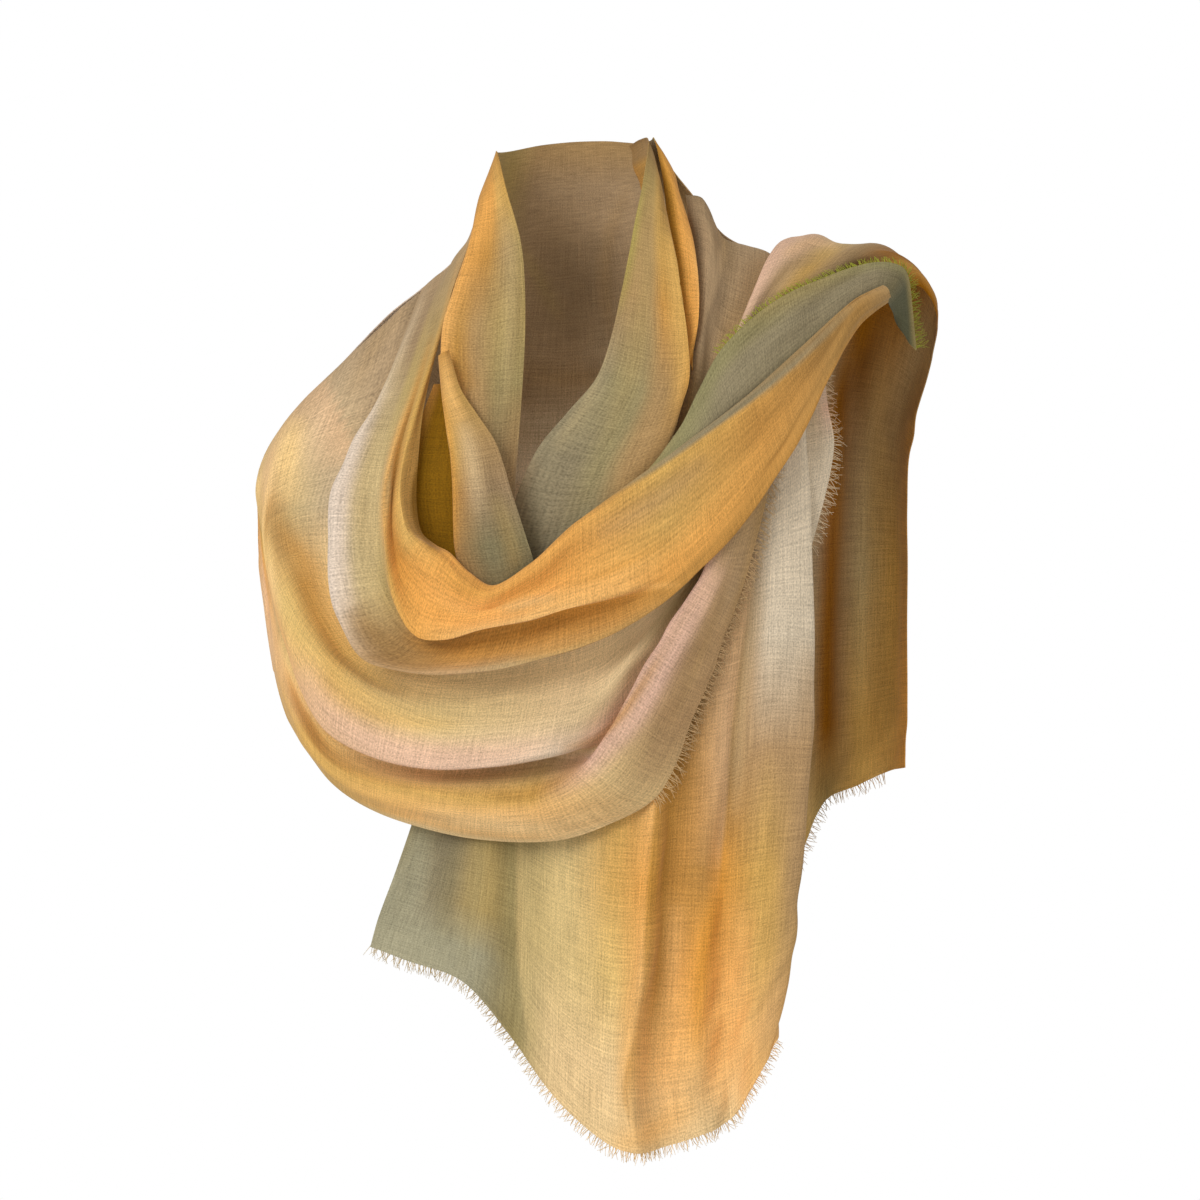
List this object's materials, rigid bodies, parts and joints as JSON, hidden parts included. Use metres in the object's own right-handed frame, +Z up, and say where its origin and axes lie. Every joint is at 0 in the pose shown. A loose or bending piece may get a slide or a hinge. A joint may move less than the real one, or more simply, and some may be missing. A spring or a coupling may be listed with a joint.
{
  "type": "wool and silk scarf",
  "caption": "Wool and silk stole wound round the neck and shoulders as worn: a cowl of deep folds over the chest, an end hanging in front, one thrown over a shoulder, and frayed edges.",
  "frame": {"origin": "the middle of the base of the wearer's neck, inside the scarf's collar", "axes": "+Z up, the scarf's front faces -Y, the wearer's left is +X"},
  "size_m": [0.4662, 0.299, 0.6866],
  "materials": {
    "orange": "matte woven cloth with a soft sheen",
    "olive": "matte woven cloth with a soft sheen",
    "taupe": "matte woven cloth with a soft sheen",
    "beige": "matte woven cloth with a soft sheen",
    "grey_green": "matte woven cloth with a soft sheen"
  },
  "bodies": {
    "root": {"back_panel": "olive", "shoulder_fold": "taupe", "neck_fold": "orange", "neck_drape": "olive", "front_panel": "orange", "panel_return": "beige", "throat_drape": "orange", "throat_tongue": "beige", "swag_pocket": "orange", "swag_rim": "orange", "swag": "beige", "swag_outer": "orange", "shoulder_band": "grey_green", "back_tail": "taupe", "hem_fringe": "orange", "swag_fringe": "beige", "return_fringe": "beige", "band_fringe": "olive", "tail_fringe": "taupe", "back_fringe": "olive"}
  },
  "joints": []
}
